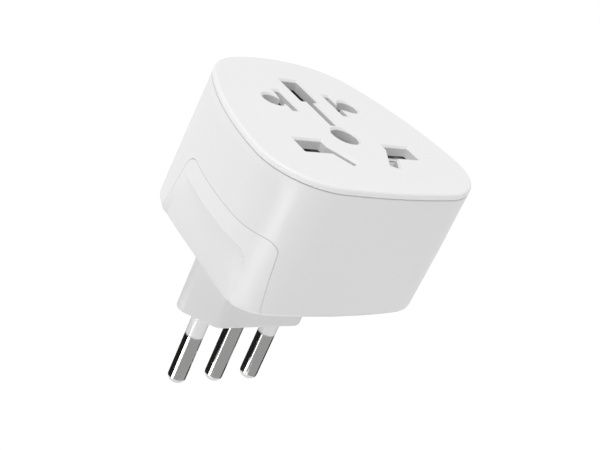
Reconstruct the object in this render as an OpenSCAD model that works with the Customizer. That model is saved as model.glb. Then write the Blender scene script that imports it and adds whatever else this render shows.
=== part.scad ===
// Universal travel adapter: a socket block for many plug types over a
// three-pin in-line plug, with a sprung safety shutter inside.
// Origin: centre of the plug face, on the earth pin's axis.
// +Z goes up to the socket face, +Y to the socket's earth side, +X to the line side.

/* [Plug] */
// Diameter of each plug pin
pin_d = 4; // [3.9:0.05:4.1]
// Distance from the earth pin to each live pin
pin_pitch = 9.5; // [9.4:0.05:9.6]
// Length of each pin below the plug face
pin_len = 19; // [17:0.5:20]
// Length of the insulating sleeve below the plug face
sleeve_len = 6.5; // [5:0.5:10]
// Height of the plug nose under the body
nose_h = 16.8; // [16:0.2:17.4]
// Half width of the nose across its flats
nose_half_w = 7; // [6.8:0.1:7.4]
// Length of the nose beyond each live pin, to where its two end faces would meet
nose_beyond = 7.9; // [7.5:0.1:8.3]
// Radius of the nose's upright corners
nose_r = 2.2; // [1.4:0.1:2.4]

/* [Body] */
// Half width of the body across its front corners
body_half_w = 25.2; // [25:0.1:25.6]
// Height of the socket face above the plug face
face_z = 46.8; // [46.4:0.1:48]
// Height of the face plate's visible rim
rim_h = 1.4; // [1.2:0.1:1.6]
// Thickness of the face plate under the plugs
plate_t = 2.5; // [2.2:0.1:2.6]
// Thickness of the body's wall
wall = 2.2; // [2:0.1:2.4]
// Thickness of the side grips
grip_t = 1.8; // [1.6:0.1:1.9]
// Height of the side grips' top edge above the plug face
grip_top = 32.8; // [31:0.5:33]
// Lean of the finger flats, in degrees
flat_lean = 10; // [8:0.5:11]

/* [Sockets] */
// Width of the British line and neutral openings
uk_w = 6.9; // [6.7:0.1:7.1]
// Height of the British line and neutral openings
uk_h = 4.5; // [4.4:0.1:4.6]
// Diameter of the round European openings
euro_d = 4.6; // [4.5:0.1:4.7]
// Diameter of the round American earth opening
us_earth_d = 5.8; // [5.4:0.1:6]
// Width of the flat blade openings
blade_w = 1.8; // [1.7:0.1:1.9]
// Depth of the lead-in chamfer round each opening
lead_in = 0.5; // [0.3:0.1:0.6]

/* [Shutter] */
// Travel of the safety shutter
shutter_travel = 6.5; // [6.2:0.1:6.5]
// Clearance between the shutter and the pieces round it
shutter_gap = 0.3; // [0.25:0.05:0.35]

/* [Hidden] */

$fn = 48;
eps = 0.01;
fit = 0.05;                            // gap between pieces that seat in each other
far = 60;                              // reach of a cut that runs past the whole part
over = 1;                              // how far a cut runs past a face
white = "whitesmoke";
nickel = "silver";
brass = "gold";

// Heights in the stack
socket_y = -2.5;                       // centre of the socket pattern, from the earth pin
seam_z = face_z - rim_h;               // joint of face plate and housing
plate_z = face_z - plate_t;            // underside of the face plate
shutter_t = 1.95;
shutter_top = plate_z - shutter_gap;
shutter_z = shutter_top - shutter_t;
carrier_top = shutter_z - shutter_gap;
base_z = nose_h;                       // underside of the housing
floor_z = base_z + wall;               // inside of the housing's floor
flange_t = 2;
carrier_z = floor_z + flange_t;
carrier_floor = 3.5;
trench_z = carrier_z + carrier_floor;  // floor of the contact trenches
leaf_h = 13;
ramp_z = trench_z + leaf_h + 0.7;      // lowest edge of the shutter's ramps

// Outline of the body in plan: end arcs, corner arcs and side arcs that run into each
// other smoothly. Each corner is given by its radius, its reach to the side, and how
// much further the end arc bulges out. The back corner changes from top to base.
front_y = -24.65;
front_r = 13;
front_bulge = 0.55;
front_corner = [body_half_w - front_r, front_y + front_bulge + front_r];
back_y = 26.9;
back_r_top = 15.1;
back_narrow_top = 5.5;                 // how far it stays behind the front corner's reach
back_bulge_top = 0.6;
back_corner_top = [body_half_w - back_narrow_top - back_r_top, back_y - back_bulge_top - back_r_top];
back_r_low = 13;
back_narrow_low = 4.2;
back_bulge_low = 1.7;
back_corner_low = [body_half_w - back_narrow_low - back_r_low, back_y - back_bulge_low - back_r_low];
side_r = 69;

// Each level of the body: height, inset, and share of the lower back corner
waist_h = 15.2;
waist_z = base_z + waist_h;
foot_r = 3;                            // height of the rounding at the foot
body_levels = [[seam_z, 0.25, 0], [seam_z - 0.3, 0, 0], [waist_z, 0.3, 0.4],
               [base_z + foot_r, 0.3 * foot_r, 1], [base_z + 0.3 * foot_r, 0.6 * foot_r, 1],
               [base_z, 3.2, 1]];
inner_levels = [[face_z, 0, 0], [waist_z, 0.3, 0.4], [floor_z, 1.1, 1]];
rim_r = 0.8;                           // rounding of the face plate's edge
rim_levels = [[seam_z + eps, 0.25, 0], [seam_z + 0.3, 0, 0], [face_z - rim_r, 0, 0],
              [face_z - 0.3 * rim_r, 0.28 * rim_r, 0], [face_z - eps, rim_r, 0]];
skirt_in = wall + 0.15;                // face plate's skirt, inside the housing's wall
skirt_t = 1.2;
skirt_h = 2;

// Side grips and their finger flats
grip_back = 13.8;
grip_front = -22.2;
grip_inner_x = 17.6;                   // a grip's inner edge, from the middle
grip_back_r = 5;
grip_front_r = 3;
flat_back = 13.2;
flat_front = -18.5;
flat_top = 28;
flat_back_r = 8;
flat_front_r = 3.5;
flat_in = 3.6;                         // flat's distance inside the side, at the base
flat_x = body_half_w - flat_in;
flat_y = -4;
flat_turn = 5.3;                       // turn of the flat in plan, following the side
behind_grip = 1.5;                     // housing wall behind a grip

// Openings in the face, from the centre of the socket pattern
uk_x = 11.11;
uk_y = -9.18;
uk_earth_y = 13.05;
uk_earth_size = [4.5, 8.6];
euro_y = 8.2;
euro_x = 9.5;
us_x = 6.4;
us_len = 8;
us_earth_y = -4.35;
au_x = 6.86;
au_y = -11.9;
au_len = 7.2;
au_turn = 30;
au_earth_y = 4.2;
au_earth_len = 9.2;

// Screws and posts, each set in from the nearest corner's side
front_post_in = 7.2;
back_post_in = 5.6;
front_post = front_corner + (front_r - front_post_in) * [cos(47), -sin(47)];
back_post = back_corner_top + (back_r_top - back_post_in) * [cos(72), sin(72)];
post_r = 1.9;
post_gap = 0.2;
screw_r = 1;
screw_len = 10;
screw_head_r = 1.7;
screw_head_h = 1.1;
screw_hole_r = screw_r + 0.2;
recess_w = 0.5;                        // cross recess in a screw's head
recess_l = 2.2;
recess_h = 0.7;

// Nose
nose_half_l = pin_pitch + nose_beyond;
nose_wall = 1.6;
nose_floor = 4;
nose_edge = 0.8;                       // chamfer round the plug face
flange_in = 9;                         // flange's distance inside the body's side
flange_half = [body_half_w - flange_in, 12.8];
rib_t = 1.2;                           // ribs between the pins
rib_h = 11;

// Pins, sleeves and links
tip_r = 1.2;
sleeve_t = 0.5;
seat_r = pin_d / 2 + 0.2;              // seats of pins and sleeves in the nose's floor
neck_top = 2;                          // top of a sleeve inside the nose's floor
collar_r = 3;
collar_h = 1.2;
stud_r = 1.5;
stud_top = 10;
link_t = 0.8;
link_w = 2.6;
link_back = 2.9;                       // riser's distance behind the pin's axis
link_z = nose_floor + collar_h;
nut_h = 2.4;
nut_r = 3.1;

// Contacts: strips in the carrier's trenches, with sprung leaves standing up from them
strip_t = 0.8;
leaf_t = 0.4;
leaf_bend_h = 8;                       // straight part of a leaf
leaf_grip_h = 10.5;                    // height of its grip point
flare = 0.5;
euro_leaf = pin_d / 2 + 0.4;           // leaf's inner face, from the European pin's axis
euro_strip = [euro_x - euro_leaf, euro_x + euro_leaf + leaf_t];
euro_leaf_l = 7.2;
uk_pin_h = 4;
uk_leaf = uk_pin_h / 2 + flare;        // leaf's inner face, from the British pin's middle
uk_leaf_x = [8.4, 13.8];
uk_earth_leaf_l = 7.4;
us_earth_leaf_l = 4.8;
strip_margin = 0.6;

// Carrier
carrier_wall = 1.2;
trench_x = [4.6, 14.9];                // live trenches
trench_y = [-12.9, 12.8];
toe_x = 9;                             // front toe of a live trench
toe_y = -15.8;
earth_trench = [3.6, -8, 17.8];        // half width, front and back
carrier_x = trench_x[1] + carrier_wall;
shoulder_in = 2.8;                     // how far the carrier narrows towards its ends
shoulder_x = carrier_x - shoulder_in;
shoulder_y = [9, 17.7];
hold_y = [-4.6, 2];                    // blocks that hold the strips down
wing_x = 2.7;                          // wing beyond the spring's axis
wing_y = 1.6;                          // wing beyond the spring's end
wing_h = 5.7;

// Shutter, at rest
ramp_x = [5.2, 14.5];
euro_ramp_x1 = 12.5;
ramp_lip = 0.5;
ramp_t = 1.4;                          // how far its underside lags behind its top edge
ramp_flat = 0.8;
bar_w = 1;
uk_bar = [-11.6, -6.8];
euro_bar = [5.9, 10.6];
rail_x = [12.9, 15];
rail_chamfer = 2.5;
spine_x = [3.4, 4.8];
spine_y = [-16.5, -14.2];
arm_y = [-7.2, -4.8];
arm_x = 18;
tab_x = [15.3, 17.7];
tab_y = [-6.6, -5.4];

// Shutter springs
spring_x = 16.5;
spring_r = 1.5;
spring_wire = 0.4;
spring_coils = 6;
spring_steps = 48;                     // lengths of wire in a spring
spring_sunk = 2.1;                     // depth of a spring's axis in the carrier
spring_z = carrier_top - spring_sunk;
spring_y = [tab_y[1], 5];              // front and back ends of a spring's room
channel_r = spring_r + 0.4;

function direction(v) = atan2(v[1], v[0]);
function arc(c, r, a0, a1, n) =
    [for (i = [0:n - 1]) c + r * [cos(a0 + (a1 - a0) * i / n), sin(a0 + (a1 - a0) * i / n)]];
// Radius of an end arc that passes (0, y) and runs smoothly into a corner circle
function end_radius(c, r, d) = (c[0] * c[0] + d * d - r * r) / (2 * (d - r));
// Centre of the side arc that runs smoothly into both corner circles
function side_centre(a, b, ra, rb) =
    let (d = norm(b - a), u = (b - a) / d, s = (ra * ra - rb * rb + d * d) / (2 * d))
    a + s * u + sqrt(ra * ra - s * s) * [-u[1], u[0]];
function half_outline(inset, low) =
    let (bc = back_corner_top + low * (back_corner_low - back_corner_top),
         br = back_r_top + low * (back_r_low - back_r_top),
         fr = end_radius(front_corner, front_r, front_corner[1] - front_y),
         kr = end_radius(bc, br, back_y - bc[1]),
         fc = [0, front_y + fr],
         kc = [0, back_y - kr],
         sc = side_centre(front_corner, bc, side_r - front_r, side_r - br),
         a0 = direction(front_corner - fc),
         a1 = direction(front_corner - sc),
         a2 = direction(bc - sc),
         a3 = direction(bc - kc))
    concat(arc(fc, fr - inset, -90, a0, 2), arc(front_corner, front_r - inset, a0, a1, 10),
           arc(sc, side_r - inset, a1, a2, 5), arc(bc, br - inset, a2, a3, 7),
           arc(kc, kr - inset, a3, 90, 3), [[0, back_y - inset]]);
function outline(inset, low) =
    let (h = half_outline(inset, low))
    concat(h, [for (i = [len(h) - 2:-1:1]) [-h[i][0], h[i][1]]]);
// A closed shape from its right half
function mirrored(h) = concat(h, [for (i = [len(h) - 1:-1:0]) [-h[i][0], h[i][1]]]);

module both_sides() {
    children();
    mirror([1, 0, 0]) children();
}

module box(x0, x1, y0, y1, z0, z1) translate([x0, y0, z0]) cube([x1 - x0, y1 - y0, z1 - z0]);

module slab(z, inset, low)
    translate([0, 0, z]) linear_extrude(eps) polygon(outline(inset, low));

module body_hull(skin, levels)
    hull() for (l = levels) slab(l[0] - (l == levels[0] ? eps : 0), l[1] + skin, l[2]);

// A window in a side wall, outwards from x0, with round top corners, grown by g all round
module side_window(x0, back, front, top, back_r, front_r, g)
    translate([x0 - g, 0, 0]) rotate([90, 0, 90]) linear_extrude(far) difference() {
        translate([front - g, 0]) square([back - front + 2 * g, top + g]);
        window_corner(front - g, top + g, front_r, 1);
        window_corner(back + g, top + g, back_r, -1);
    }

// What a round corner takes off a window's top, at x, turned to the side by way
module window_corner(x, y, r, way)
    translate([x, y]) scale([way, 1]) difference() {
        translate([-over, -r]) square([r + over, r + over]);
        translate([r, -r]) circle(r);
    }

module grip_window(g)
    side_window(grip_inner_x, grip_back, grip_front, grip_top, grip_back_r, grip_front_r, g);

// What a finger flat takes off the side, moved inwards by skin
module finger_flat(skin)
    intersection() {
        translate([flat_x - skin, flat_y, base_z]) rotate([0, flat_lean, flat_turn])
            box(0, far, -far, far, -far, far);
        side_window(0, flat_back, flat_front, flat_top, flat_back_r, flat_front_r, skin);
    }

// The body without its sockets, with the finger flats, moved inwards by skin
module body_core(skin)
    difference() {
        body_hull(skin, body_levels);
        both_sides() finger_flat(skin);
    }

module grip(side)
    color(white) translate([0, socket_y, 0]) mirror([side < 0 ? 1 : 0, 0, 0])
        intersection() {
            difference() {
                body_core(0);
                body_core(grip_t);
            }
            grip_window(0);
        }

module left_grip() { grip(-1); }
module right_grip() { grip(1); }

module at_posts()
    both_sides() for (p = [front_post, back_post]) translate([p[0], p[1], 0]) children();

// The nose in plan, drawn in by less: a hexagon with pointed ends and rounded corners
module nose_plan(less) {
    w = nose_half_w - less - nose_r;
    l = nose_half_l - sqrt(2) * (less + nose_r);
    corners = [[l, 0], [l - w, w], [w - l, w], [-l, 0], [w - l, -w], [l - w, -w]];
    sides = [45, 90, 135, 225, 270, 315];
    for (c = corners) translate(c) circle(nose_r);
    polygon([for (i = [0:5]) for (a = [sides[(i + 5) % 6], sides[i]])
             corners[i] + nose_r * [cos(a), sin(a)]]);
}

module nose_prism(z0, z1, less)
    translate([0, 0, z0]) linear_extrude(z1 - z0) nose_plan(less);

module housing()
    color(white) difference() {
        translate([0, socket_y, 0]) difference() {
            body_core(0);
            // grip recesses
            difference() {
                both_sides() grip_window(fit);
                body_core(grip_t + fit);
            }
            // inside, with a wall kept behind each grip
            difference() {
                body_hull(wall, inner_levels);
                difference() {
                    both_sides() grip_window(behind_grip);
                    body_core(grip_t + fit + behind_grip);
                }
            }
            at_posts() {
                translate([0, 0, base_z - over])
                    cylinder(r = screw_head_r + 2 * fit, h = screw_head_h + over);
                cylinder(r = screw_hole_r, h = floor_z + over);
            }
        }
        nose_prism(base_z - over, floor_z + over, -fit);
    }

// A lead-in round a rectangular opening, centred, with its top at z = 0
module lead_in_frame(w, h)
    intersection() {
        rotate([90, 0, 0]) translate([0, 0, -h]) linear_extrude(2 * h) lead_in_profile(w / 2);
        rotate([90, 0, 90]) translate([0, 0, -w]) linear_extrude(2 * w) lead_in_profile(h / 2);
    }

module lead_in_profile(half)
    polygon(mirrored([[half, -2 * lead_in], [half, -lead_in], [half + lead_in / 2, 0],
                      [half + lead_in / 2, over]]));

module slot(x, y, w, h, turn = 0)
    translate([x, y, face_z]) rotate([0, 0, turn]) {
        box(-w / 2, w / 2, -h / 2, h / 2, -plate_t - over, over);
        lead_in_frame(w, h);
    }

module round_hole(x, y, d)
    translate([x, y, 0]) {
        translate([0, 0, plate_z - over]) cylinder(d = d, h = plate_t + 2 * over);
        translate([0, 0, face_z - lead_in]) cylinder(d1 = d, d2 = d + lead_in, h = lead_in);
        translate([0, 0, face_z]) cylinder(d = d + lead_in, h = over);
    }

module socket_openings() {
    both_sides() {
        slot(uk_x, uk_y, uk_w, uk_h);
        slot(us_x, euro_y, blade_w, us_len);
        slot(au_x, au_y, blade_w, au_len, -au_turn);
        round_hole(euro_x, euro_y, euro_d);
    }
    slot(0, uk_earth_y, uk_earth_size[0], uk_earth_size[1]);
    slot(0, au_earth_y, blade_w, au_earth_len);
    round_hole(0, us_earth_y, us_earth_d);
}

module face_plate()
    color(white) translate([0, socket_y, 0]) difference() {
        union() {
            body_hull(0, rim_levels);
            translate([0, 0, plate_z]) linear_extrude(seam_z + 0.1 - plate_z)
                polygon(outline(skirt_in, 0));
            // skirt that centres the plate in the housing
            translate([0, 0, plate_z - skirt_h]) linear_extrude(skirt_h + eps) difference() {
                polygon(outline(skirt_in, 0));
                polygon(outline(skirt_in + skirt_t, 0));
            }
            at_posts() translate([0, 0, floor_z]) cylinder(r = post_r, h = plate_z - floor_z + eps);
        }
        socket_openings();
        at_posts() translate([0, 0, floor_z - over]) cylinder(r = screw_r + fit, h = screw_len);
    }

module plug_base()
    color(white) difference() {
        union() {
            nose_prism(nose_edge, carrier_z, 0);
            hull() {
                nose_prism(0, eps, nose_edge);
                nose_prism(nose_edge, nose_edge + eps, 0);
            }
            translate([0, socket_y, 0])
                box(-flange_half[0], flange_half[0], -flange_half[1], flange_half[1], floor_z, carrier_z);
        }
        difference() {
            nose_prism(nose_floor, carrier_z + over, nose_wall);
            // ribs that keep the pins' links apart
            both_sides() translate([pin_pitch / 2, 0, 0])
                box(-rib_t / 2, rib_t / 2, -nose_half_w, nose_half_w,
                    nose_floor - over, nose_floor + rib_h);
        }
        for (x = [-pin_pitch, 0, pin_pitch])
            translate([x, 0, -over]) cylinder(r = seat_r + fit, h = nose_floor + 2 * over);
    }

// A pin: round tip, shank, seat, collar on the nose's floor and a threaded stud.
// The shank of a live pin has a neck for the sleeve, and its seat starts above that.
module pin(neck = 0) {
    r = pin_d / 2;
    seat_z = neck > 0 ? neck_top : 0;
    color(nickel) rotate_extrude() difference() {
        union() {
            translate([0, -pin_len]) square([r - tip_r, 2 * tip_r]);
            intersection() {
                translate([r - tip_r, tip_r - pin_len]) circle(tip_r);
                translate([0, -pin_len]) square([r, 2 * tip_r]);
            }
            translate([0, tip_r - pin_len]) square([r, pin_len - tip_r + seat_z]);
            translate([0, seat_z]) square([seat_r, nose_floor - seat_z]);
            translate([0, nose_floor]) square([collar_r, collar_h]);
            square([stud_r, stud_top]);
        }
        if (neck > 0) translate([r - sleeve_t, -neck]) square([r, neck + neck_top]);
    }
}

module earth_pin() { pin(); }
module line_pin() { translate([pin_pitch, 0, 0]) pin(sleeve_len); }
module neutral_pin() { translate([-pin_pitch, 0, 0]) pin(sleeve_len); }

// An insulating sleeve, flush with its pin, with a wider seat in the nose's floor
module sleeve()
    color(white) rotate_extrude() translate([pin_d / 2 - sleeve_t + fit, 0]) {
        translate([0, -sleeve_len]) square([sleeve_t - fit, sleeve_len + neck_top]);
        square([seat_r - pin_d / 2 + sleeve_t - fit, neck_top]);
    }

module line_pin_sleeve() { translate([pin_pitch, 0, 0]) sleeve(); }
module neutral_pin_sleeve() { translate([-pin_pitch, 0, 0]) sleeve(); }

module pin_nuts()
    color(brass) for (x = [-pin_pitch, 0, pin_pitch])
        translate([x, 0, link_z + link_t]) difference() {
            cylinder(r = nut_r, h = nut_h, $fn = 6);
            translate([0, 0, -over]) cylinder(r = stud_r + fit, h = nut_h + 2 * over);
        }

// A strap from a ring on a pin's stud up to the contact above it
module link(x)
    color(brass) translate([x, 0, 0]) {
        difference() {
            union() {
                translate([0, 0, link_z]) cylinder(r = collar_r, h = link_t);
                box(-link_w / 2, link_w / 2, 0, link_back + link_t, link_z, link_z + link_t);
            }
            translate([0, 0, link_z - over]) cylinder(r = stud_r + fit, h = link_t + 2 * over);
        }
        box(-link_w / 2, link_w / 2, link_back, link_back + link_t, link_z, trench_z);
    }

module earth_link() { link(0); }
module line_link() { link(pin_pitch); }
module neutral_link() { link(-pin_pitch); }

// Block that seats the contacts in trenches and guides the shutter's springs
module contact_carrier()
    color(white) {
        difference() {
            translate([0, socket_y, 0]) difference() {
                union() {
                    translate([0, 0, carrier_z]) linear_extrude(carrier_top - carrier_z) carrier_plan();
                    both_sides()
                        box(carrier_x - 0.1, spring_x + wing_x, tab_y[0] - wing_y, spring_y[1] + wing_y,
                            carrier_top - wing_h, carrier_top);
                }
                both_sides() {
                    // trenches of the live contacts
                    box(trench_x[0], trench_x[1], trench_y[0], trench_y[1], trench_z, carrier_top + over);
                    box(trench_x[0], toe_x, toe_y, trench_y[0] + over, trench_z, carrier_top + over);
                    // way for the shutter's ramp behind the European opening
                    box(trench_x[0], trench_x[1], trench_y[1] - over,
                        euro_bar[1] + shutter_travel + 2 * over,
                        ramp_z - shutter_gap, carrier_top + over);
                    // channel of the shutter's spring
                    box(spring_x - channel_r, spring_x + channel_r, tab_y[0] - 2 * shutter_gap,
                        spring_y[1], spring_z - channel_r, carrier_top + over);
                }
                // trench of the earth contact
                box(-earth_trench[0], earth_trench[0], earth_trench[1], earth_trench[2],
                    trench_z, carrier_top + over);
            }
            // slots of the links
            for (x = [-pin_pitch, 0, pin_pitch]) translate([x, link_back, 0])
                box(-link_w / 2 - fit, link_w / 2 + fit, -fit, link_t + fit,
                    carrier_z - over, trench_z + over);
        }
        translate([0, socket_y, 0]) both_sides()
            box(trench_x[0], trench_x[1], hold_y[0], hold_y[1],
                trench_z + strip_t + 2 * fit, ramp_z - 2 * shutter_gap);
    }

// The carrier in plan, with room for the posts
module carrier_plan()
    difference() {
        polygon(mirrored([
            [shoulder_x, toe_y - carrier_wall], [carrier_x, trench_y[0] - carrier_wall],
            [carrier_x, shoulder_y[0]], [shoulder_x, shoulder_y[1]],
            [earth_trench[0] + carrier_wall, shoulder_y[1]],
            [earth_trench[0] + carrier_wall, earth_trench[2] + carrier_wall]]));
        at_posts() circle(post_r + post_gap);
    }

// A spring leaf in profile: straight, then bent in to a grip point and out at the tip
module leaf_profile()
    polygon([[0, 0], [leaf_t, 0], [leaf_t, leaf_bend_h], [leaf_t - flare, leaf_grip_h],
             [leaf_t + flare, leaf_h], [flare, leaf_h], [-flare, leaf_grip_h], [0, leaf_bend_h]]);

// Two leaves that face each other across X, their inner faces gap from the middle, from y0 to y1
module leaf_pair(gap, y0, y1)
    both_sides() translate([gap, y1, trench_z]) rotate([90, 0, 0]) linear_extrude(y1 - y0) leaf_profile();

module live_contact()
    color(brass) translate([0, socket_y, 0]) {
        box(euro_strip[0] - leaf_t, euro_strip[1], uk_y, euro_y + euro_leaf_l / 2 + strip_margin / 3,
            trench_z, trench_z + strip_t);
        box(euro_strip[0] - leaf_t, uk_leaf_x[1] + strip_margin, uk_y - uk_leaf - leaf_t,
            uk_y + uk_leaf + leaf_t, trench_z, trench_z + strip_t);
        translate([euro_x, euro_y, 0]) leaf_pair(euro_leaf, -euro_leaf_l / 2, euro_leaf_l / 2);
        translate([0, uk_y, 0]) rotate([0, 0, 90]) leaf_pair(uk_leaf, -uk_leaf_x[1], -uk_leaf_x[0]);
    }

module line_contact() { live_contact(); }
module neutral_contact() { mirror([1, 0, 0]) live_contact(); }

module earth_contact()
    color(brass) translate([0, socket_y, 0]) {
        box(-uk_leaf - leaf_t, uk_leaf + leaf_t, us_earth_y - us_earth_leaf_l / 2 - strip_margin,
            uk_earth_y + uk_earth_leaf_l / 2 + strip_margin, trench_z, trench_z + strip_t);
        translate([0, uk_earth_y, 0]) leaf_pair(uk_leaf, -uk_earth_leaf_l / 2, uk_earth_leaf_l / 2);
        translate([0, us_earth_y, 0]) leaf_pair(uk_leaf, -us_earth_leaf_l / 2, us_earth_leaf_l / 2);
    }

// A ramp that a plug's pin pushes down on, so that the shutter moves to +Y
module ramp(x0, x1, y)
    translate([x0, 0, 0]) rotate([90, 0, 90]) linear_extrude(x1 - x0)
        polygon([[y[0], ramp_z], [y[0], ramp_z + ramp_lip], [y[1] - ramp_flat, shutter_top],
                 [y[1], shutter_top], [y[1], shutter_z], [y[0] + ramp_t, ramp_z]]);

// A bar of the shutter's flat frame
module bar(x0, x1, y0, y1) box(x0, x1, y0, y1, shutter_z, shutter_top);

module shutter()
    color(white) translate([0, socket_y, 0]) {
        both_sides() difference() {
            union() {
                ramp(ramp_x[0], ramp_x[1], uk_bar);
                ramp(ramp_x[0], euro_ramp_x1, euro_bar);
                bar(rail_x[0], rail_x[1], uk_bar[0], euro_bar[1]);
                bar(ramp_x[0], rail_x[1], euro_bar[1] - bar_w, euro_bar[1]);
                bar(spine_x[0], rail_x[1], uk_bar[1] - bar_w, uk_bar[1]);
                bar(spine_x[0], spine_x[1], spine_y[0], uk_bar[1]);
                bar(rail_x[0], arm_x, arm_y[0], arm_y[1]);
                // tab that pushes the spring
                box(tab_x[0], tab_x[1], tab_y[0], tab_y[1], spring_z - spring_r, shutter_top);
            }
            // corner that would meet the face plate's skirt
            translate([rail_x[1], euro_bar[1], shutter_z]) rotate([0, 0, 45])
                cube([sqrt(2) * rail_chamfer, sqrt(2) * rail_chamfer, 3 * shutter_t], center = true);
        }
        bar(-spine_x[1], spine_x[1], spine_y[0], spine_y[1]);
    }

// A compression spring along Y, made of short straight lengths of wire on a helix
module shutter_spring(side) {
    length = spring_y[1] - spring_y[0] - 2 * fit;
    turn = 360 * spring_coils;
    rise = length - 2 * spring_wire;
    helix_r = spring_r - spring_wire / 2;
    color("gray") translate([side * spring_x, socket_y + spring_y[0] + fit + spring_wire, spring_z])
        for (i = [1:spring_steps]) hull() for (k = [i - 1, i] / spring_steps)
            translate([helix_r * cos(turn * k), rise * k, helix_r * sin(turn * k)])
                sphere(d = spring_wire, $fn = 8);
}

module left_shutter_spring() { shutter_spring(-1); }
module right_shutter_spring() { shutter_spring(1); }

module case_screws()
    color(nickel) translate([0, socket_y, base_z]) at_posts() difference() {
        union() {
            cylinder(r = screw_head_r, h = screw_head_h);
            cylinder(r = screw_r, h = screw_len);
        }
        for (a = [0, 90]) rotate([0, 0, a])
            box(-recess_l / 2, recess_l / 2, -recess_w / 2, recess_w / 2, -over, recess_h);
    }

face_plate();
housing();
left_grip();
right_grip();
plug_base();
earth_pin();
line_pin();
neutral_pin();
line_pin_sleeve();
neutral_pin_sleeve();
pin_nuts();
earth_link();
line_link();
neutral_link();
contact_carrier();
earth_contact();
line_contact();
neutral_contact();
shutter();
left_shutter_spring();
right_shutter_spring();
case_screws();
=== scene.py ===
import math

import bpy
from mathutils import Matrix, Vector


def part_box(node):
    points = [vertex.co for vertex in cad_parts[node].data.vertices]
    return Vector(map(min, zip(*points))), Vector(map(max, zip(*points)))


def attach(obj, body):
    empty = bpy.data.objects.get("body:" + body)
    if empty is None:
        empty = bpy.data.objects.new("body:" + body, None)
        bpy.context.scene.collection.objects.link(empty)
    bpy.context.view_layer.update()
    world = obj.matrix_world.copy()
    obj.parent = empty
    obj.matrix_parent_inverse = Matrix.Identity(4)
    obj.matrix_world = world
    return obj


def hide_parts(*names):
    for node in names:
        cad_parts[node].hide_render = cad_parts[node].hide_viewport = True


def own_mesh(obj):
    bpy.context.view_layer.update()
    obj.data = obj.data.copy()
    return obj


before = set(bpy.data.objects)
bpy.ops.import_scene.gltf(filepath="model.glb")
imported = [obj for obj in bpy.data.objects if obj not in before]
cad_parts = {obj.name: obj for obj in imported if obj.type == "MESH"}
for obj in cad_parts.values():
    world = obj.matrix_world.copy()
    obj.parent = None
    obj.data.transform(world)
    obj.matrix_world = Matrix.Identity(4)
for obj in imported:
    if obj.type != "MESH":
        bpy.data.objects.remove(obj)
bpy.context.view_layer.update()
MM = 0.001


# ---------------------------------------------------------------- camera
# The adapter is seen from its front left corner and from above, through a long
# lens. The camera is rolled so that the pins point to the lower left.
CAMERA_PLACE = Vector((-157.05, -166.89, 131.28)) * MM
CAMERA_HEADING = 44.23
CAMERA_PITCH = 25.24
CAMERA_ROLL = 24.32
FOCAL_PIXELS = 1246.6
IMAGE_WIDTH = 600
SENSOR_WIDTH = 36

camera_data = bpy.data.cameras.new("camera")
camera_data.sensor_width = SENSOR_WIDTH
camera_data.lens = FOCAL_PIXELS * SENSOR_WIDTH / IMAGE_WIDTH
camera_data.clip_start = 0.01
camera = bpy.data.objects.new("camera", camera_data)
bpy.context.scene.collection.objects.link(camera)
camera.matrix_world = (Matrix.Translation(CAMERA_PLACE)
                       @ Matrix.Rotation(math.radians(-CAMERA_HEADING), 4, "Z")
                       @ Matrix.Rotation(math.radians(90 - CAMERA_PITCH), 4, "X")
                       @ Matrix.Rotation(math.radians(CAMERA_ROLL), 4, "Z"))
bpy.context.scene.camera = camera


# ---------------------------------------------------------------- studio
# A matt white floor lies far below the adapter in an even white room, with a broad
# light from above and two soft ones from the left. Glowing cards round the pins and
# off the front left corner show in shiny surfaces only.
WORLD_STRENGTH = 0.6
SUN_STRENGTH = 1.6
SUN_SPREAD = 35
SUN_FROM = Vector((-0.25, 0.03, 0.95))
FLOOR_Z = -0.60
FLOOR_SIZE = 30
# The cards stand round the pins as a drum in three greys. Each starts at a turn, in
# degrees, from the camera's side of the drum.
PIN_CARD_RADIUS = 0.08
PIN_CARD_HEIGHT = 0.049
PIN_CARD_Z = -0.0605
DARK_GLOW = 0.02
BRIGHT_GLOW = 6
GREY_GLOW = 0.47
CAMERA_SIDE = -133.2
BRIGHT_FROM = -57
GREY_FROM = -33
DARK_FROM = 120
CORNER_CARD_PLACE = (-0.382, -0.307, -0.22)
CORNER_CARD_SIZE = (0.12, 0.4, 1)
CORNER_CARD_FACING = Vector((0.382, 0.307, 0.25))
CORNER_GLOW = 8

world = bpy.data.worlds.new("studio")
bpy.context.scene.world = world
world.use_nodes = True
world.node_tree.nodes["Background"].inputs["Color"].default_value = (1, 1, 1, 1)
world.node_tree.nodes["Background"].inputs["Strength"].default_value = WORLD_STRENGTH
bpy.context.scene.view_settings.view_transform = "Standard"
bpy.context.scene.view_settings.look = "None"

bpy.ops.object.select_all(action="DESELECT")
bpy.ops.mesh.primitive_plane_add(size=FLOOR_SIZE, location=(0, 0, FLOOR_Z))
floor = bpy.context.object
floor.name = "floor"
floor_white = bpy.data.materials.new("floor_white")
floor_white.use_nodes = True
floor_white.node_tree.nodes["Principled BSDF"].inputs["Base Color"].default_value = (0.95, 0.95, 0.95, 1)
floor_white.node_tree.nodes["Principled BSDF"].inputs["Roughness"].default_value = 0.9
floor.data.materials.append(floor_white)

sun_data = bpy.data.lights.new("broad_light", "SUN")
sun_data.energy = SUN_STRENGTH
sun_data.angle = math.radians(SUN_SPREAD)
sun = bpy.data.objects.new("broad_light", sun_data)
bpy.context.scene.collection.objects.link(sun)
sun.rotation_euler = SUN_FROM.to_track_quat("Z", "Y").to_euler()


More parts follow.
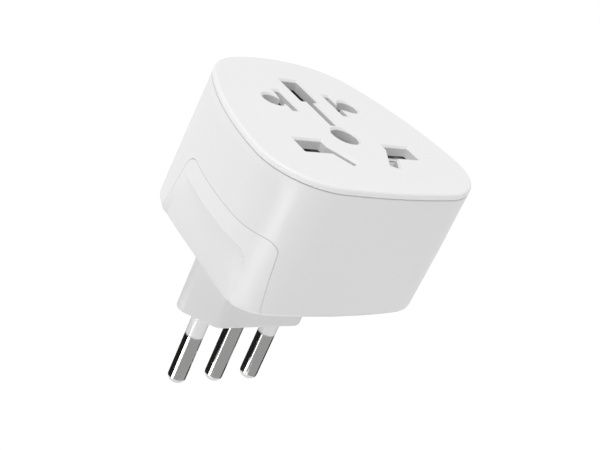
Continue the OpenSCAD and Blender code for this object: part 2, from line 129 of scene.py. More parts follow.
def soft_light(name, place, size, power, aim=(0, 0, 0.025)):
    data = bpy.data.lights.new(name, "AREA")
    data.shape = "RECTANGLE"
    data.size = size[0]
    data.size_y = size[1]
    data.energy = power
    light = bpy.data.objects.new(name, data)
    bpy.context.scene.collection.objects.link(light)
    light.location = place
    light.rotation_euler = (Vector(aim) - Vector(place)).to_track_quat("-Z", "Y").to_euler()
    return light


soft_light("left_side", (-0.45, -0.22, 0.16), (0.12, 0.5), 0.2)
soft_light("back_left", (-0.30, 0.42, -0.12), (0.15, 0.3), 0.35).visible_glossy = False


def plain_glow(name, strength):
    made = bpy.data.materials.new(name)
    made.use_nodes = True
    surface = made.node_tree.nodes["Principled BSDF"]
    surface.inputs["Base Color"].default_value = (0, 0, 0, 1)
    surface.inputs["Specular IOR Level"].default_value = 0
    surface.inputs["Emission Color"].default_value = (1, 1, 1, 1)
    surface.inputs["Emission Strength"].default_value = strength
    made.cycles.emission_sampling = "NONE"
    return made


def only_in_gloss(card):
    """A card that shows in shiny surfaces and nowhere else."""
    card.visible_camera = card.visible_diffuse = card.visible_shadow = False
    card.visible_transmission = card.visible_volume_scatter = False


bpy.ops.object.select_all(action="DESELECT")
bpy.ops.mesh.primitive_cylinder_add(vertices=120, radius=PIN_CARD_RADIUS, depth=PIN_CARD_HEIGHT,
                                    end_fill_type="NOTHING", location=(0, 0, PIN_CARD_Z))
pin_cards = bpy.context.object
pin_cards.name = "pin_cards"
for glow in (DARK_GLOW, BRIGHT_GLOW, GREY_GLOW):
    pin_cards.data.materials.append(plain_glow(f"card_{glow}", glow))
for face in pin_cards.data.polygons:
    turn = (math.degrees(math.atan2(face.center.y, face.center.x)) - CAMERA_SIDE + 180) % 360 - 180
    if turn < BRIGHT_FROM or turn > DARK_FROM:
        face.material_index = 0
    elif turn < GREY_FROM:
        face.material_index = 1
    else:
        face.material_index = 2
only_in_gloss(pin_cards)

bpy.ops.object.select_all(action="DESELECT")
bpy.ops.mesh.primitive_plane_add(size=1, location=CORNER_CARD_PLACE)
corner_card = bpy.context.object
corner_card.name = "corner_card"
corner_card.scale = CORNER_CARD_SIZE
corner_card.rotation_euler = CORNER_CARD_FACING.to_track_quat("Z", "Y").to_euler()
corner_card.data.materials.append(plain_glow("corner_glow", CORNER_GLOW))
only_in_gloss(corner_card)


# ---------------------------------------------------------------- contacts, links and nuts
# Contacts bent from sheet brass have spring leaves under the openings. A brass strap
# joins each to its pin's stud, and a brass nut on the stud holds the strap.


def new_socket(group, name, kind, way="INPUT", value=None):
    socket = group.interface.new_socket(name=name, in_out=way, socket_type=kind)
    if value is not None:
        socket.default_value = value
    return socket


def grain_group():
    """Colour, roughness and normal of a moulded surface, from two sizes of noise."""
    group = bpy.data.node_groups.new("moulded_grain", "ShaderNodeTree")
    new_socket(group, "Colour", "NodeSocketColor", value=(0.8, 0.8, 0.8, 1))
    new_socket(group, "Roughness", "NodeSocketFloat", value=0.35)
    new_socket(group, "Relief", "NodeSocketFloat", value=0.1)
    new_socket(group, "Grain size", "NodeSocketFloat", value=6000)
    new_socket(group, "Colour", "NodeSocketColor", "OUTPUT")
    new_socket(group, "Roughness", "NodeSocketFloat", "OUTPUT")
    new_socket(group, "Normal", "NodeSocketVector", "OUTPUT")
    nodes, links = group.nodes, group.links
    given = nodes.new("NodeGroupInput")
    result = nodes.new("NodeGroupOutput")
    coords = nodes.new("ShaderNodeTexCoord")
    cloud = nodes.new("ShaderNodeTexNoise")
    cloud.inputs["Scale"].default_value = 45
    cloud.inputs["Detail"].default_value = 3
    grain = nodes.new("ShaderNodeTexNoise")
    grain.inputs["Detail"].default_value = 2
    links.new(coords.outputs["Object"], cloud.inputs["Vector"])
    links.new(coords.outputs["Object"], grain.inputs["Vector"])
    links.new(given.outputs["Grain size"], grain.inputs["Scale"])
    shade = nodes.new("ShaderNodeMapRange")
    shade.inputs["To Min"].default_value = 0.985
    shade.inputs["To Max"].default_value = 1.015
    links.new(cloud.outputs["Fac"], shade.inputs["Value"])
    tint = nodes.new("ShaderNodeVectorMath")
    tint.operation = "SCALE"
    links.new(given.outputs["Colour"], tint.inputs[0])
    links.new(shade.outputs["Result"], tint.inputs["Scale"])
    links.new(tint.outputs["Vector"], result.inputs["Colour"])
    rough = nodes.new("ShaderNodeMapRange")
    rough.inputs["To Min"].default_value = 0.9
    rough.inputs["To Max"].default_value = 1.1
    links.new(cloud.outputs["Fac"], rough.inputs["Value"])
    vary = nodes.new("ShaderNodeMath")
    vary.operation = "MULTIPLY"
    links.new(given.outputs["Roughness"], vary.inputs[0])
    links.new(rough.outputs["Result"], vary.inputs[1])
    links.new(vary.outputs["Value"], result.inputs["Roughness"])
    bump = nodes.new("ShaderNodeBump")
    bump.inputs["Distance"].default_value = 0.00003
    links.new(grain.outputs["Fac"], bump.inputs["Height"])
    links.new(given.outputs["Relief"], bump.inputs["Strength"])
    links.new(bump.outputs["Normal"], result.inputs["Normal"])
    return group


GRAIN = grain_group()


def material(name, colour, roughness, relief=0.1, grain_size=6000, metallic=0, clear=0):
    made = bpy.data.materials.new(name)
    made.use_nodes = True
    nodes, links = made.node_tree.nodes, made.node_tree.links
    surface = nodes["Principled BSDF"]
    grain = nodes.new("ShaderNodeGroup")
    grain.node_tree = GRAIN
    grain.inputs["Colour"].default_value = (*colour, 1)
    grain.inputs["Roughness"].default_value = roughness
    grain.inputs["Relief"].default_value = relief
    grain.inputs["Grain size"].default_value = grain_size
    links.new(grain.outputs["Colour"], surface.inputs["Base Color"])
    links.new(grain.outputs["Roughness"], surface.inputs["Roughness"])
    links.new(grain.outputs["Normal"], surface.inputs["Normal"])
    surface.inputs["Metallic"].default_value = metallic
    surface.inputs["Coat Weight"].default_value = clear
    surface.inputs["Coat Roughness"].default_value = 0.2
    return made


def dress(node_name, made):
    """Gives a piece that keeps the solid's own mesh its material."""
    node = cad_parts[node_name]
    node.data.materials.clear()
    node.data.materials.append(made)


BRASS = material("brass", (0.72, 0.52, 0.22), 0.3, metallic=1)

for name in ("pin_nuts", "earth_link", "line_link", "neutral_link",
             "earth_contact", "line_contact", "neutral_contact"):
    dress(name, BRASS)


# ---------------------------------------------------------------- case screws
# Four steel screws, driven in from below into the face plate's posts, hold the
# case together.
STEEL = material("steel", (0.58, 0.58, 0.59), 0.42, metallic=1)

dress("case_screws", STEEL)


# ---------------------------------------------------------------- carrier and shutter
# The contacts lie in trenches of a block moulded in grey plastic. A white moulded
# slide above it, with a ramp under the line and the neutral opening, is the shutter.
CARRIER_GREY = material("carrier_grey", (0.45, 0.45, 0.44), 0.55)
SHUTTER_WHITE = material("shutter_white", (0.80, 0.80, 0.80), 0.4)

dress("contact_carrier", CARRIER_GREY)
dress("shutter", SHUTTER_WHITE)


# ---------------------------------------------------------------- pins and sleeves
# Three pins turned from brass and nickel-plated, with softly rounded tips. The outer two
# have a thinner neck next to the nose, and a moulded sleeve fills it flush with the pin.
# The sizes of this and the next pieces are in millimetres.
PIN_RADIUS = 2
PIN_LENGTH = 19
PIN_PITCH = 9.5
TIP_RADIUS = 1.5
TIP_STEPS = 8
NECK_RADIUS = 1.5
NECK_TOP = 2
SHOULDER_EDGE = (0.1, 0.12)
COLLAR_RADIUS = 2.2
COLLAR_TOP = 4
HEAD_RADIUS = 3
HEAD_TOP = 5.2
STUD_RADIUS = 1.5
STUD_TOP = 10
SLEEVE_LENGTH = 6.5
SLEEVE_BORE = 1.52
SLEEVE_END = 0.03 - SLEEVE_LENGTH
SLEEVE_TOP = 1.98
SLEEVE_EDGE = (0.1, 0.11)


def start_edit(piece, mode="VERT"):
    bpy.ops.object.select_all(action="DESELECT")
    piece.select_set(True)
    bpy.context.view_layer.objects.active = piece
    bpy.ops.object.mode_set(mode="EDIT")
    bpy.ops.mesh.select_mode(type=mode)


def end_edit():
    bpy.ops.object.mode_set(mode="OBJECT")


def settle(piece):
    """Puts the piece's place and size into its mesh."""
    bpy.ops.object.select_all(action="DESELECT")
    piece.select_set(True)
    bpy.context.view_layer.objects.active = piece
    bpy.ops.object.transform_apply(location=True, rotation=True, scale=True)
    return piece


def smooth(piece, angle=30):
    bpy.ops.object.select_all(action="DESELECT")
    piece.select_set(True)
    bpy.context.view_layer.objects.active = piece
    bpy.ops.object.shade_smooth_by_angle(angle=math.radians(angle))


def finish_piece(piece, made, slot, body, *replaced):
    piece.data.materials.clear()
    piece.data.materials.append(made)
    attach(piece, body)
    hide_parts(*replaced)


def turned(name, x, profile, steps=64):
    """A turned piece from its profile of (radius, height) points, on an upright axis at x."""
    bpy.ops.object.select_all(action="DESELECT")
    bpy.ops.mesh.primitive_circle_add(vertices=len(profile), radius=1)
    piece = bpy.context.object
    piece.name = name
    for vertex, (radius, height) in zip(piece.data.vertices, profile):
        vertex.co = Vector((x + radius, 0, height)) * MM
    start_edit(piece)
    bpy.ops.mesh.select_all(action="SELECT")
    bpy.ops.mesh.spin(steps=steps, angle=2 * math.pi, center=(x * MM, 0, 0), axis=(0, 0, 1))
    bpy.ops.mesh.select_all(action="SELECT")
    bpy.ops.mesh.remove_doubles(threshold=1e-7)
    bpy.ops.mesh.normals_make_consistent(inside=False)
    end_edit()
    return settle(piece)


def pin_profile(neck):
    """A pin from its tip up to the end of its stud, with a neck for a sleeve or without one."""
    points = [(0, -PIN_LENGTH)]
    for i in range(TIP_STEPS + 1):
        turn = math.pi / 2 * i / TIP_STEPS
        points.append((PIN_RADIUS - TIP_RADIUS * (1 - math.sin(turn)),
                       TIP_RADIUS * (1 - math.cos(turn)) - PIN_LENGTH))
    if neck:
        points += [(PIN_RADIUS, -SLEEVE_LENGTH - SHOULDER_EDGE[1]),
                   (PIN_RADIUS - SHOULDER_EDGE[0], -SLEEVE_LENGTH),
                   (NECK_RADIUS, -SLEEVE_LENGTH), (NECK_RADIUS, NECK_TOP)]
    else:
        points.append((PIN_RADIUS, 0))
    return points + [(COLLAR_RADIUS, points[-1][1]), (COLLAR_RADIUS, COLLAR_TOP), (HEAD_RADIUS, COLLAR_TOP),
                     (HEAD_RADIUS, HEAD_TOP), (STUD_RADIUS, HEAD_TOP), (STUD_RADIUS, STUD_TOP),
                     (0, STUD_TOP)]


SLEEVE_PROFILE = [(SLEEVE_BORE, SLEEVE_END), (PIN_RADIUS - SLEEVE_EDGE[0], SLEEVE_END),
                  (PIN_RADIUS, SLEEVE_END + SLEEVE_EDGE[1]), (PIN_RADIUS, 0), (COLLAR_RADIUS, 0),
                  (COLLAR_RADIUS, SLEEVE_TOP), (SLEEVE_BORE, SLEEVE_TOP)]
NICKEL = material("nickel", (0.62, 0.62, 0.61), 0.09, relief=0.05, metallic=1)
SLEEVE_WHITE = material("sleeve_white", (0.80, 0.80, 0.80), 0.2, clear=0.5)

for x, name in ((-PIN_PITCH, "neutral_pin"), (0, "earth_pin"), (PIN_PITCH, "line_pin")):
    pin = turned(name + "_turned", x, pin_profile(x != 0))
    smooth(pin, 30)
    finish_piece(pin, NICKEL, "pin_metal", "adapter", name)
    if x != 0:
        sleeve = turned(name + "_sleeve_moulded", x, SLEEVE_PROFILE)
        smooth(sleeve, 30)
        finish_piece(sleeve, SLEEVE_WHITE, "sleeve_plastic", "adapter", name + "_sleeve")


# ---------------------------------------------------------------- plug nose
# A long moulded hexagonal block with pointed ends and rounded upright corners. It is
# hollow above its floor, and its flange lies on the housing's floor.
NOSE_HALF_WIDTH = 7
NOSE_HALF_LENGTH = 17.4
NOSE_CORNER = 2.2
NOSE_CORNER_STEP = 5
NOSE_EDGE = 0.8
NOSE_EDGE_STEPS = 6
NOSE_TOP = 21
NOSE_FLOOR = 4
NOSE_WALL = 1.6
FLANGE_LOW = (-16.2, -15.3, 19)
FLANGE_HIGH = (16.2, 10.3, NOSE_TOP)
RIB_X = 4.75
RIB_THICK = 1.2
RIB_HALF_LENGTH = 8
RIB_HEIGHT = 11
PIN_HOLE_RADIUS = 2.24
PIN_HOLE_LENGTH = 12
CUT_PAST = 1


def apply_modifier(piece, kind, **settings):
    bpy.ops.object.select_all(action="DESELECT")
    piece.select_set(True)
    bpy.context.view_layer.objects.active = piece
    modifier = piece.modifiers.new(kind.lower(), kind)
    for key, value in settings.items():
        setattr(modifier, key, value)
    bpy.ops.object.modifier_apply(modifier=modifier.name)


def cut(piece, tool, operation="DIFFERENCE", keep=False):
    apply_modifier(piece, "BOOLEAN", object=tool, operation=operation, solver="EXACT")
    if not keep:
        bpy.data.objects.remove(tool)


def loft(name, rings):
    """A closed solid through rings of equal point counts, from the lowest ring up."""
    around = len(rings[0])
    bpy.ops.object.select_all(action="DESELECT")
    bpy.ops.mesh.primitive_grid_add(x_subdivisions=around, y_subdivisions=len(rings) - 1, size=1)
    piece = bpy.context.object
    piece.name = name
    for level, ring in enumerate(rings):
        for i in range(around + 1):
            piece.data.vertices[level * (around + 1) + i].co = ring[i % around]
    start_edit(piece)
    bpy.ops.mesh.select_all(action="SELECT")
    bpy.ops.mesh.remove_doubles(threshold=1e-7)
    bpy.ops.mesh.select_all(action="DESELECT")
    bpy.ops.mesh.select_non_manifold()
    bpy.ops.mesh.edge_face_add()
    bpy.ops.mesh.select_all(action="SELECT")
    bpy.ops.mesh.normals_make_consistent(inside=False)
    end_edit()
    return settle(piece)


def block(name, low, high):
    """A box between two corners given in millimetres."""
    low, high = Vector(low) * MM, Vector(high) * MM
    bpy.ops.object.select_all(action="DESELECT")
    bpy.ops.mesh.primitive_cube_add(size=1, location=(low + high) / 2)
    piece = bpy.context.object
    piece.name = name
    piece.scale = high - low
    return settle(piece)


def nose_ring(z, inset):
    """A hexagon with rounded corners at a height, drawn in by an inset."""
    width = NOSE_HALF_WIDTH - inset - NOSE_CORNER
    length = NOSE_HALF_LENGTH - math.sqrt(2) * (inset + NOSE_CORNER)
    centres = [(length, 0), (length - width, width), (width - length, width),
               (-length, 0), (width - length, -width), (length - width, -width)]
    starts = (-45, 45, 90, 135, 225, 270)
    ends = (45, 90, 135, 225, 270, 315)
    ring = []
    for (x, y), start, end in zip(centres, starts, ends):
        steps = round((end - start) / NOSE_CORNER_STEP)
        for i in range(steps + 1):
            turn = math.radians(start + (end - start) * i / steps)
            along = x + NOSE_CORNER * math.cos(turn)
            across = y + NOSE_CORNER * math.sin(turn)
            ring.append(Vector((along, across, z)) * MM)
    return ring


nose_rings = []
for i in range(NOSE_EDGE_STEPS + 1):
    turn = math.pi / 2 * i / NOSE_EDGE_STEPS
    nose_rings.append(nose_ring(NOSE_EDGE * (1 - math.cos(turn)), NOSE_EDGE * (1 - math.sin(turn))))
nose = loft("plug_nose", nose_rings + [nose_ring(NOSE_TOP, 0)])
cut(nose, block("flange", FLANGE_LOW, FLANGE_HIGH), "UNION")
hollow = loft("hollow", [nose_ring(z, NOSE_WALL) for z in (NOSE_FLOOR, NOSE_TOP + CUT_PAST)])
for x in (-RIB_X, RIB_X):
    cut(hollow, block("rib", (x - RIB_THICK / 2, -RIB_HALF_LENGTH, NOSE_FLOOR - CUT_PAST),
                      (x + RIB_THICK / 2, RIB_HALF_LENGTH, NOSE_FLOOR + RIB_HEIGHT)))
cut(nose, hollow)
for x in (-PIN_PITCH, 0, PIN_PITCH):
    bpy.ops.object.select_all(action="DESELECT")
    bpy.ops.mesh.primitive_cylinder_add(vertices=64, radius=PIN_HOLE_RADIUS * MM,
                                        depth=PIN_HOLE_LENGTH * MM, location=(x * MM, 0, 0))
    cut(nose, settle(bpy.context.object))
smooth(nose, 35)
# The nose is the same white plastic as the face plate. Its colour is set darker as painted shade, for the
# shade it lies in under the body.
SHADED_BASE_WHITE = material("base_white_painted_shade", (0.695, 0.695, 0.695), 0.45)
finish_piece(nose, SHADED_BASE_WHITE, "base_plastic", "adapter", "plug_base")


# ---------------------------------------------------------------- body form
# The housing, its grips and the face plate share a rounded trapezoid of eight tangent
# arcs, wide at the line and neutral end and rounder at the earth end. Lower down its
# corners are fuller, and it is drawn in a little towards the foot.
SOCKET_Y = -2.5
FACE_Z = 46.8
SEAM_Z = 45.4
PLATE_Z = 44.3
MIDDLE_Z = 32
BASE_Z = 16.8
WALL = 2.2
FRONT_Y = -24.65
FRONT_Y_LOW = -24
BACK_Y = 26.9
FRONT_CORNER = Vector((12.2, -11.1))
FRONT_CORNER_LOW = Vector((15, -12.8))
FRONT_RADIUS = 13
FRONT_RADIUS_LOW = 10.4
BACK_CORNER = Vector((4.6, 11.2))
BACK_CORNER_LOW = Vector((8.9, 12.4))
BACK_RADIUS = 15.1
BACK_RADIUS_LOW = 13
SIDE_RADIUS = 69
ARC_STEPS = (10, 40, 96, 26, 12)
FOOT_RADIUS = 1.4
FOOT_STEPS = 7
FOOT_INSET = 1
MIDDLE_INSET = 0.3
MIDDLE_LOW = 0.4
FINE_LEVELS = 34
FINE_LEVEL_STEP = 0.32
COARSE_LEVELS = (30, 31, 32, 34, 37, 40, 43, SEAM_Z - 0.3)
SEAM_EDGE = ((SEAM_Z - 0.12, 0.04), (SEAM_Z, 0.25))


def end_radius(corner, radius, end_y):
    """The radius of the end arc that touches both corner arcs and the end."""
    reach = abs(corner.y - end_y)
    return (corner.x ** 2 + reach ** 2 - radius ** 2) / (2 * (reach - radius))


def side_centre(a, b, ra, rb):
    """The centre of the side arc, at given distances from a front and a back corner's centre."""
    along = (b - a).normalized()
    s = (ra * ra - rb * rb + (b - a).length_squared) / (2 * (b - a).length)
    return a + s * along + math.sqrt(ra * ra - s * s) * Vector((-along.y, along.x))


def heading(v):
    return math.atan2(v.y, v.x)


def half_outline(inset, low):
    """The right half of a level's outline from front to back; low is 0 at the seam and 1 at the foot."""
    front_corner = FRONT_CORNER.lerp(FRONT_CORNER_LOW, low)
    front_radius = FRONT_RADIUS + low * (FRONT_RADIUS_LOW - FRONT_RADIUS)
    front_y = FRONT_Y + low * (FRONT_Y_LOW - FRONT_Y)
    back_corner = BACK_CORNER.lerp(BACK_CORNER_LOW, low)
    back_radius = BACK_RADIUS + low * (BACK_RADIUS_LOW - BACK_RADIUS)
    front_end = end_radius(front_corner, front_radius, front_y)
    back_end = end_radius(back_corner, back_radius, BACK_Y)
    front_centre = Vector((0, front_y + front_end))
    back_centre = Vector((0, BACK_Y - back_end))
    side = side_centre(front_corner, back_corner, SIDE_RADIUS - front_radius, SIDE_RADIUS - back_radius)
    turns = [-math.pi / 2, heading(front_corner - front_centre), heading(front_corner - side),
             heading(back_corner - side), heading(back_corner - back_centre), math.pi / 2]
    arcs = [(front_centre, front_end), (front_corner, front_radius), (side, SIDE_RADIUS),
            (back_corner, back_radius), (back_centre, back_end)]
    points = []
    for (centre, radius), start, end, steps in zip(arcs, turns, turns[1:], ARC_STEPS):
        for i in range(steps):
            turn = start + (end - start) * i / steps
            points.append(centre + (radius - inset) * Vector((math.cos(turn), math.sin(turn))))
    return points + [Vector((0, BACK_Y - inset))]


def outline(inset, low):
    right = half_outline(inset, low)
    return right + [Vector((-p.x, p.y)) for p in right[-2:0:-1]]


def level_shape(z):
    """How far a level is drawn in, and how far its corners are the low ones."""
    if z > MIDDLE_Z:
        t = (z - MIDDLE_Z) / (SEAM_Z - MIDDLE_Z)
        return MIDDLE_INSET * (1 - t), MIDDLE_LOW * (1 - t)
    t = (z - BASE_Z) / (MIDDLE_Z - BASE_Z)
    return FOOT_INSET - (FOOT_INSET - MIDDLE_INSET) * t, 1 - (1 - MIDDLE_LOW) * t


# ---------------------------------------------------------------- finger flats
# Each side has a flat for the fingers, moulded into its grip: a plane that leans in
# towards the base, at least a small step below the side. Its border is soft, and it
# fades out towards the back.
FLAT_X = 21.7
FLAT_Y = -4
FLAT_LEAN = math.radians(9.5)
FLAT_TURN = math.radians(3.9)
FLAT_STEP = 0.5
FLAT_STEP_FADE = 9
FLAT_BACK = 13.8
FLAT_FRONT = -17.6
FLAT_TOP = 28.5
FLAT_TOP_SLOPE = 0.04
FLAT_SLOPE_Y = -2
FLAT_FADE = 2
FLAT_BACK_RADIUS = 1
FLAT_FRONT_RADIUS = 3
FLAT_BORDER = 0.28
FLAT_BLEND = 0.6
SIDE_X = 12
GRIP_BACK_LEAN = 0.25


def window_distance(y, z, front, back, top, front_radius, back_radius):
    """How far a point lies outside a window with round top corners; negative inside it."""
    for corner_y, way, radius in ((front, 1, front_radius), (back, -1, back_radius)):
        inner = corner_y + way * radius
        if (y - inner) * way < 0 and z > top - radius:
            return math.hypot(y - inner, z - top + radius) - radius
    return max(front - y, y - back, z - top)


def soft_step(t):
    """Rises smoothly from 0 to 1 as t does."""
    t = min(1, max(0, t))
    return t * t * (3 - 2 * t)


def with_flat(x, y, z, skin):
    """A side point's distance from the middle, pressed in by the finger flat."""
    plane = FLAT_X - skin - (y - FLAT_Y) * math.tan(FLAT_TURN) + (z - BASE_Z) * math.tan(FLAT_LEAN)
    top = FLAT_TOP - FLAT_TOP_SLOPE * max(0, y - FLAT_SLOPE_Y)
    back = FLAT_BACK - GRIP_BACK_LEAN * (z - BASE_Z)
    away = window_distance(y, z, FLAT_FRONT, back, top, FLAT_FRONT_RADIUS, FLAT_BACK_RADIUS)
    inside = soft_step(0.5 - away / (2 * FLAT_BORDER))
    step = FLAT_STEP * soft_step((FLAT_STEP_FADE - y) / FLAT_STEP_FADE)
    deep = x - plane
    pressed = (deep + step + math.hypot(deep - step, FLAT_BLEND)) / 2
    return x - inside * pressed * soft_step((back - y) / FLAT_FADE)


def body_ring(z, inset, low, skin=0):
    """The body's outline at a height, with its flats, or a layer of the skin's thickness inside it."""
    ring = []
    for p in outline(inset + skin, low):
        side = math.copysign(1, p.x)
        x = abs(p.x)
        if x > SIDE_X and z < FLAT_TOP + 1:
            x = with_flat(x, p.y, z, skin)
        ring.append(Vector((side * x, p.y + SOCKET_Y, z)) * MM)
    return ring


def body_rings(skin=0):
    """The body from its round foot up to the seam under the face plate."""
    rings = []
    for i in range(FOOT_STEPS):
        turn = math.pi / 2 * i / FOOT_STEPS
        z = BASE_Z + FOOT_RADIUS * (1 - math.cos(turn))
        inset, low = level_shape(z)
        rings.append(body_ring(z, inset + FOOT_RADIUS * (1 - math.sin(turn)), low, skin))
    fine_levels = [BASE_Z + FOOT_RADIUS + FINE_LEVEL_STEP * i for i in range(FINE_LEVELS)]
    for z in (*fine_levels, *COARSE_LEVELS):
        rings.append(body_ring(z, *level_shape(z), skin))
    for z, inset in SEAM_EDGE:
        rings.append(body_ring(z, inset, 0, skin))
    return rings


# ---------------------------------------------------------------- housing and grips
# One shell moulded in white plastic, with a recess in each side. A separate moulded
# grip fills each recess flush with the wall, with a hairline gap round it.
GRIP_INNER_X = 17.6
GRIP_BACK = 13.6
GRIP_FRONT = -21.3
GRIP_FRONT_LEAN = 0.02
GRIP_TOP = 32.7
GRIP_BACK_RADIUS = 3.5
GRIP_FRONT_RADIUS = 2
GRIP_CORNER_STEPS = 14
GRIP_THICK = 1.8
GRIP_GAP = 0.08
RECESS_DEPTH = GRIP_THICK + 0.05
SHELL_DEPTH = GRIP_THICK + 1.5
HOLLOW_FOOT = (1.2, 2.6)
HOLLOW_INSET = 0.9
HOLLOW_TURNS = (0.0, 0.5, 1.0, 1.5)
HOLLOW_LEVELS = (22, 25, 28, 30, 32, 36, 40, 44, SEAM_Z - 0.1)
HOLLOW_PAST = 2
NOSE_GAP = 0.06
OUTSIDE_X = 40
UNDER_Z = BASE_Z - 3


def copy_of(piece, name):
    twin = piece.copy()
    twin.data = piece.data.copy()
    twin.name = name
    bpy.context.scene.collection.objects.link(twin)
    return twin


def grip_window(name, side, grow):
    """A prism through a side wall, the grip's outline from the side."""
    front, back, top = GRIP_FRONT - grow, GRIP_BACK + grow, GRIP_TOP + grow
    edge = [(front, UNDER_Z)]
    for i in range(GRIP_CORNER_STEPS + 1):
        turn = math.pi / 2 * i / GRIP_CORNER_STEPS
        edge.append((front + GRIP_FRONT_RADIUS * (1 - math.cos(turn)),
                     top - GRIP_FRONT_RADIUS * (1 - math.sin(turn))))
    for i in range(GRIP_CORNER_STEPS + 1):
        turn = math.pi / 2 * i / GRIP_CORNER_STEPS
        edge.append((back - GRIP_BACK_RADIUS * (1 - math.sin(turn)),
                     top - GRIP_BACK_RADIUS * (1 - math.cos(turn))))
    edge.append((back, UNDER_Z))
    edge = [(y - GRIP_BACK_LEAN * (z - BASE_Z) if y > 0 else y - GRIP_FRONT_LEAN * (top - z), z)
            for y, z in edge]
    rings = [[Vector((side * x, y + SOCKET_Y, z)) * MM for y, z in edge]
             for x in (GRIP_INNER_X - grow, OUTSIDE_X)]
    return loft(name, rings)


def hollow_rings():
    """The inside of the shell, from its round foot to above its open top."""
    foot_in, foot_up = HOLLOW_FOOT
    rings = [body_ring(BASE_Z + WALL + foot_up * (1 - math.cos(turn)),
                       HOLLOW_INSET + foot_in * (1 - math.sin(turn)), 1, SHELL_DEPTH)
             for turn in HOLLOW_TURNS]
    for z in HOLLOW_LEVELS:
        rings.append(body_ring(z, *level_shape(z), SHELL_DEPTH))
    rings.append([p + Vector((0, 0, HOLLOW_PAST * MM)) for p in rings[-1]])
    return rings


BODY_WHITE = material("body_white", (0.745, 0.745, 0.745), 0.36)
GRIP_WHITE = material("grip_white", (0.765, 0.765, 0.765), 0.42, relief=0.2)

housing = loft("housing_shell", body_rings())
grip_core = loft("grip_core", body_rings(skin=GRIP_THICK))
for side, name in ((-1, "left_grip"), (1, "right_grip")):
    grip = copy_of(housing, name + "_shell")
    cut(grip, grip_core, keep=True)
    cut(grip, grip_window("window", side, 0), "INTERSECT")
    smooth(grip, 25)
    finish_piece(grip, GRIP_WHITE, "grip_plastic", "adapter", name)
bpy.data.objects.remove(grip_core)

recess_core = loft("recess_core", body_rings(skin=RECESS_DEPTH))
for side in (-1, 1):
    recess = grip_window("recess", side, GRIP_GAP)
    cut(recess, recess_core, keep=True)
    cut(housing, recess)
bpy.data.objects.remove(recess_core)
cut(housing, loft("inside", hollow_rings()))
cut(housing, loft("nose_opening", [nose_ring(z, -NOSE_GAP) for z in (UNDER_Z, NOSE_TOP + CUT_PAST)]))
smooth(housing, 25)
finish_piece(housing, BODY_WHITE, "body_plastic", "adapter", "housing")


# ---------------------------------------------------------------- face plate
# A flat cover moulded in white plastic, with a round raised rim and openings for the
# plugs of many countries. Each opening has a lead-in round its top edge.
PLATE_INSET = WALL + 0.15
SEAM_STEPS = ((-0.2, PLATE_INSET), (0.06, PLATE_INSET), (0.07, 0.3), (0.15, 0.06), (0.35, 0))
UNDERSIDE_INSET = WALL + 1.5
UNDERSIDE_DEPTH = 0.35
RIM_EDGE = 0.55
RIM_STEPS = 8
LEAD_DEPTH = 0.45
LEAD_WIDTH = 0.4
LEAD_STEPS = ((0.8, 0.75), (0.2, 0.25), (0.6, 0))
LEAD_Z = FACE_Z - LEAD_DEPTH
OPENING_LOW = PLATE_Z - 2
SLOT_CORNER = 0.2
UK_OPENING = (11.11, -9.18, 3.45, 2.25)
UK_EARTH_OPENING = (0, 13.05, 2.25, 4.3)
UK_CORNER = 0.25
EURO_OPENING = (9.5, 8.2, 2.3)
US_OPENING = (6.4, 8.2, 0.9, 4)
US_EARTH_OPENING = (0, -4.35, 2.9)
AU_OPENING = (6.86, -11.9, 0.9, 3.6)
AU_TURN = 30
AU_EARTH_OPENING = (0, 4.2, 0.9, 4.6)


def pick(piece, test, kind="EDGE"):
    """Selects the edges (or faces) whose ends (or centre) pass a test on their place in millimetres."""
    end_edit()
    mesh = piece.data
    for group in (mesh.vertices, mesh.edges, mesh.polygons):
        for item in group:
            item.select = False
    if kind == "EDGE":
        for edge in mesh.edges:
            ends = [mesh.vertices[v].co / MM for v in edge.vertices]
            edge.select = test(*ends)
    else:
        for face in mesh.polygons:
            face.select = test(face.center / MM)
    bpy.ops.object.mode_set(mode="EDIT")


def plate_ring(z, inset):
    return [Vector((p.x, p.y + SOCKET_Y, z)) * MM for p in outline(inset, 0)]


def flare_top(cutter, half_width, half_height):
    """Draws a cutter's top out into the lead-in, a steep chamfer, and on past the face."""
    top = LEAD_Z
    width, height = half_width, half_height
    for rise, spread in LEAD_STEPS:
        pick(cutter, lambda c: c.z > top - 0.01, "FACE")
        bpy.ops.mesh.extrude_region_move(TRANSFORM_OT_translate={"value": (0, 0, rise * LEAD_DEPTH * MM)})
        grow = spread * LEAD_WIDTH
        bpy.ops.transform.resize(value=(1 + grow / width, 1 + grow / height, 1))
        width, height = width + grow, height + grow
        top += rise * LEAD_DEPTH
    end_edit()


def place_opening(cutter, x, y, turn=0):
    cutter.rotation_euler.z = math.radians(turn)
    cutter.location = Vector((x, y + SOCKET_Y, 0)) * MM
    return settle(cutter)


def slot_opening(x, y, half_width, half_height, turn=0, corner=SLOT_CORNER):
    """A cutter for one rectangular opening, with its lead-in, on the socket pattern."""
    cutter = block("opening", (-half_width, -half_height, OPENING_LOW), (half_width, half_height, LEAD_Z))
    start_edit(cutter, "EDGE")
    pick(cutter, lambda a, b: abs(a.z - b.z) > 1)
    bpy.ops.mesh.bevel(offset=corner * MM, segments=3, affect="EDGES")
    flare_top(cutter, half_width, half_height)
    return place_opening(cutter, x, y, turn)


def round_opening(x, y, radius):
    """A cutter for one round opening, with its lead-in, on the socket pattern."""
    bpy.ops.object.select_all(action="DESELECT")
    bpy.ops.mesh.primitive_cylinder_add(vertices=64, radius=radius * MM, depth=(LEAD_Z - OPENING_LOW) * MM,
                                        location=(0, 0, (LEAD_Z + OPENING_LOW) / 2 * MM))
    cutter = settle(bpy.context.object)
    start_edit(cutter, "FACE")
    flare_top(cutter, radius, radius)
    return place_opening(cutter, x, y)


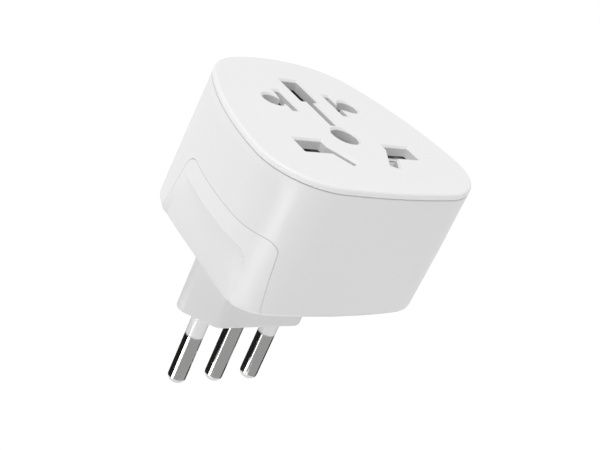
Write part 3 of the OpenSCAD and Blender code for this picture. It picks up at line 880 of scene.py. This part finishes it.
profile = [(PLATE_Z, PLATE_INSET)] + [(SEAM_Z + rise, inset) for rise, inset in SEAM_STEPS]
for i in range(RIM_STEPS + 1):
    turn = math.pi / 2 * i / RIM_STEPS
    profile.append((FACE_Z - RIM_EDGE * (1 - math.sin(turn)), RIM_EDGE * (1 - math.cos(turn))))
plate = loft("face_plate_moulded", [plate_ring(z, inset) for z, inset in profile])
cut(plate, loft("underside", [plate_ring(z, UNDERSIDE_INSET)
                              for z in (PLATE_Z - CUT_PAST, PLATE_Z + UNDERSIDE_DEPTH)]))

for side in (-1, 1):
    cut(plate, slot_opening(side * UK_OPENING[0], *UK_OPENING[1:], corner=UK_CORNER))
    cut(plate, round_opening(side * EURO_OPENING[0], *EURO_OPENING[1:]))
    cut(plate, slot_opening(side * US_OPENING[0], *US_OPENING[1:]))
    cut(plate, slot_opening(side * AU_OPENING[0], *AU_OPENING[1:], turn=-side * AU_TURN))
cut(plate, slot_opening(*UK_EARTH_OPENING, corner=UK_CORNER))
cut(plate, slot_opening(*AU_EARTH_OPENING))
cut(plate, round_opening(*US_EARTH_OPENING))
smooth(plate, 25)
for face in plate.data.polygons:
    if face.normal.z > 0.9999:
        face.use_smooth = False
FACE_WHITE = material("face_white", (0.80, 0.80, 0.80), 0.46)
finish_piece(plate, FACE_WHITE, "face_plastic", "adapter", "face_plate")


# ---------------------------------------------------------------- shutter springs
# Two compression springs wound from steel wire lie along the shutter's travel, between
# its tabs and the carrier. They push it closed, and on the real adapter shorten as it opens; here they are
# wound at one length.
SPRING_WIRE = 0.4 * MM
SPRING_COILS = 6
WIRE_SIDES = 10
COIL_STEPS = 28

for name in ("left_shutter_spring", "right_shutter_spring"):
    low, high = (Vector(corner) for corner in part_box(name))
    middle = (low + high) / 2
    length = high.y - low.y
    bpy.ops.object.select_all(action="DESELECT")
    coil_radius = (high.x - low.x - SPRING_WIRE) / 2
    bpy.ops.mesh.primitive_circle_add(vertices=WIRE_SIDES, radius=SPRING_WIRE / 2,
                                      rotation=(math.pi / 2, 0, 0), location=(coil_radius, 0, 0))
    spring = settle(bpy.context.object)
    spring.name = name + "_wound"
    apply_modifier(spring, "SCREW", screw_offset=(length - SPRING_WIRE) / SPRING_COILS,
                   iterations=SPRING_COILS, steps=COIL_STEPS, render_steps=COIL_STEPS)
    start_edit(spring)
    bpy.ops.mesh.select_all(action="DESELECT")
    bpy.ops.mesh.select_non_manifold()
    bpy.ops.mesh.edge_face_add()
    bpy.ops.mesh.select_all(action="SELECT")
    bpy.ops.mesh.normals_make_consistent(inside=False)
    end_edit()
    spring.rotation_euler.x = -math.pi / 2
    spring.location = (middle.x, low.y + SPRING_WIRE / 2, middle.z)
    settle(spring)
    smooth(spring, 60)
    finish_piece(spring, STEEL, "spring_steel", "adapter", name)
    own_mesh(spring)
